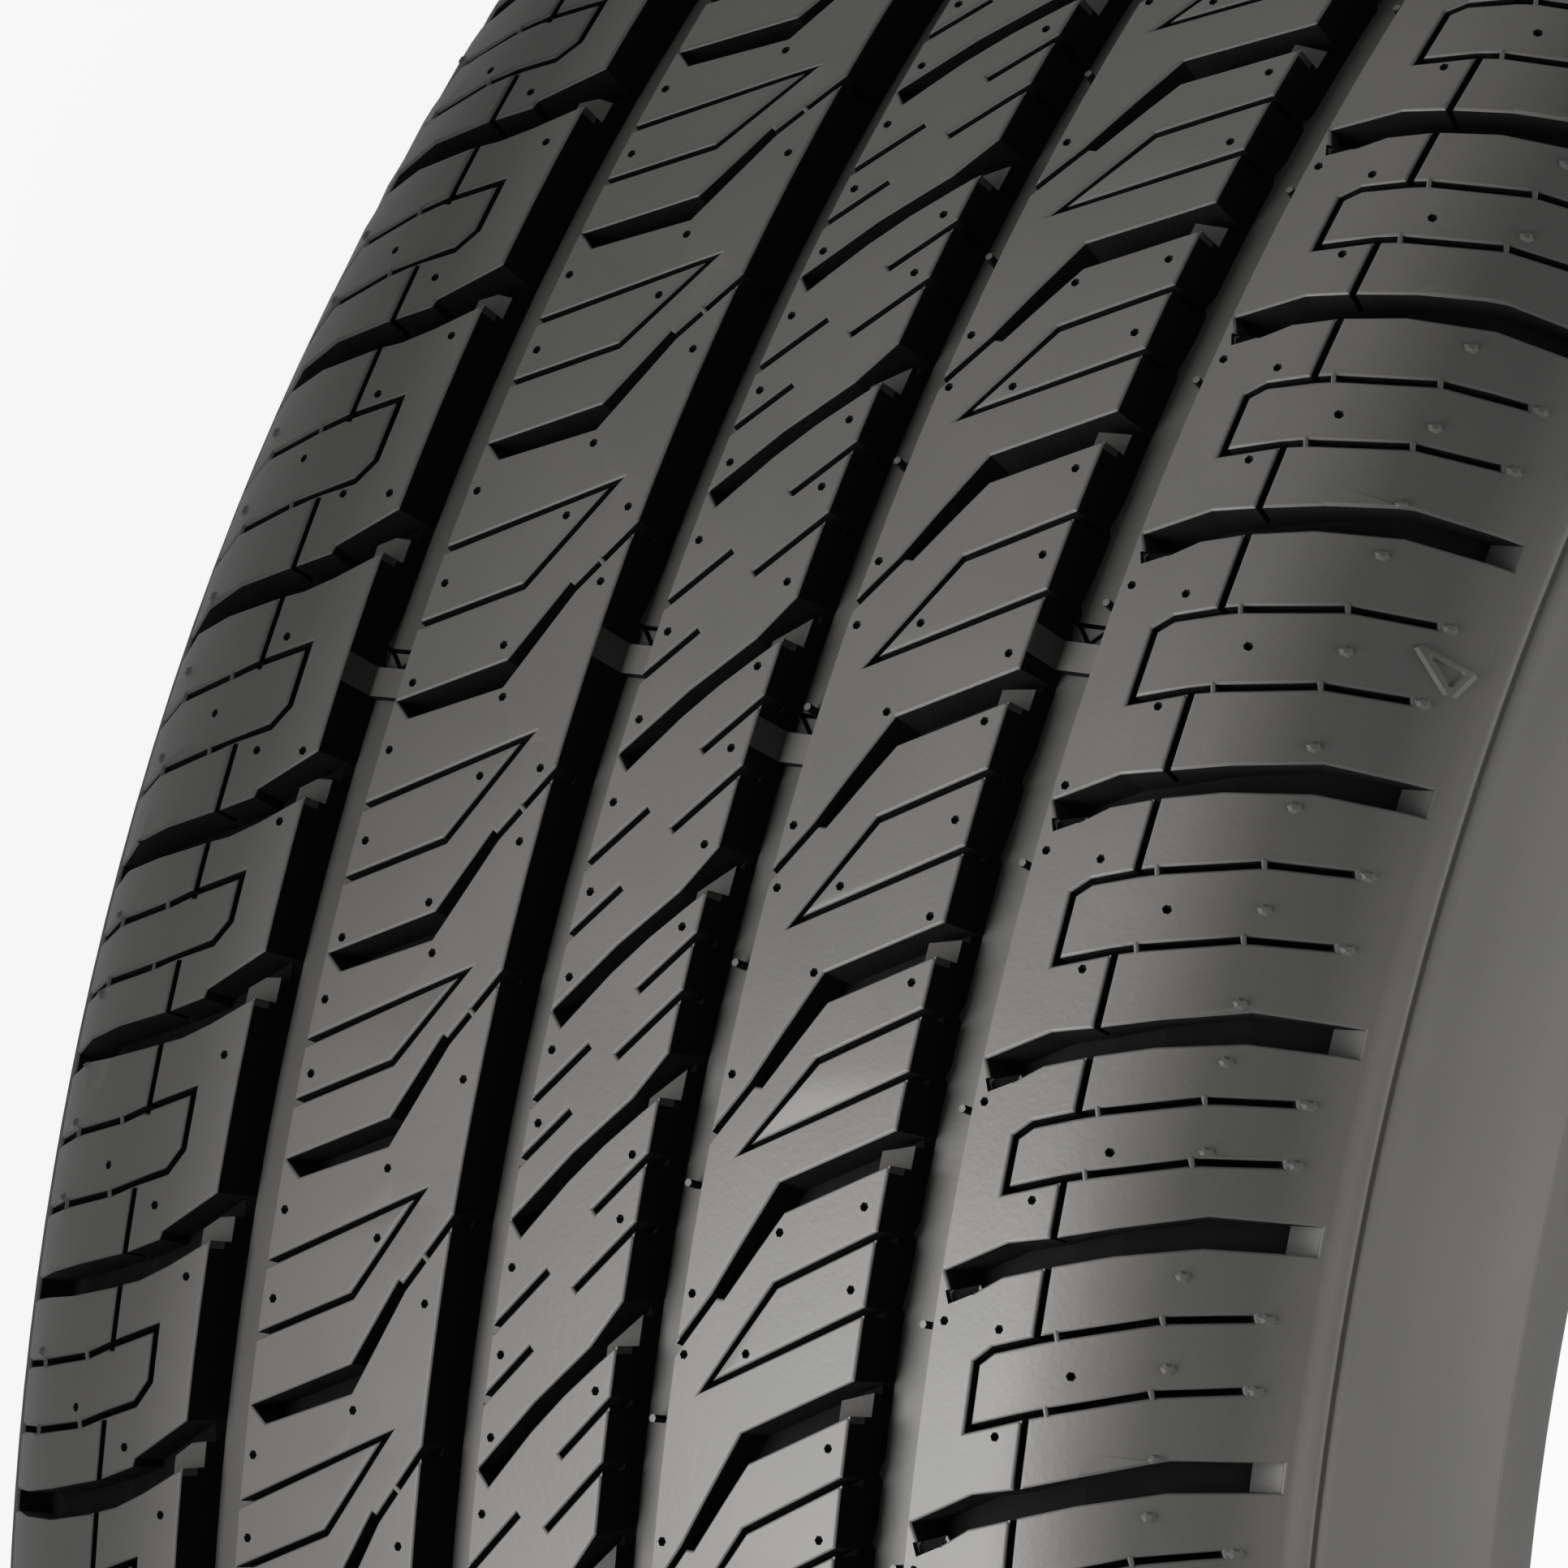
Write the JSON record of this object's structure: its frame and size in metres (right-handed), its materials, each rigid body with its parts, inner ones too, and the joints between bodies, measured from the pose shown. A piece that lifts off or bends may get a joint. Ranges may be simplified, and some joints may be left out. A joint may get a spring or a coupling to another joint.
{
  "type": "car tyre",
  "caption": "Low-profile car tyre with an asymmetric five-rib road tread, four round grooves, slanted slots and thin sipes, and two bead seats for a rim.",
  "frame": {"origin": "on the tyre's axis, at the middle of its width", "axes": "+Z along the axis towards the outer sidewall; the tyre lies on the other sidewall; +X and +Y are radial, and angles run from +X to +Y"},
  "size_m": [0.6779, 0.678, 0.245],
  "materials": {
    "rubber": "matte moulded rubber with a faint sheen"
  },
  "bodies": {
    "root": {"tyre": "rubber"}
  },
  "joints": []
}
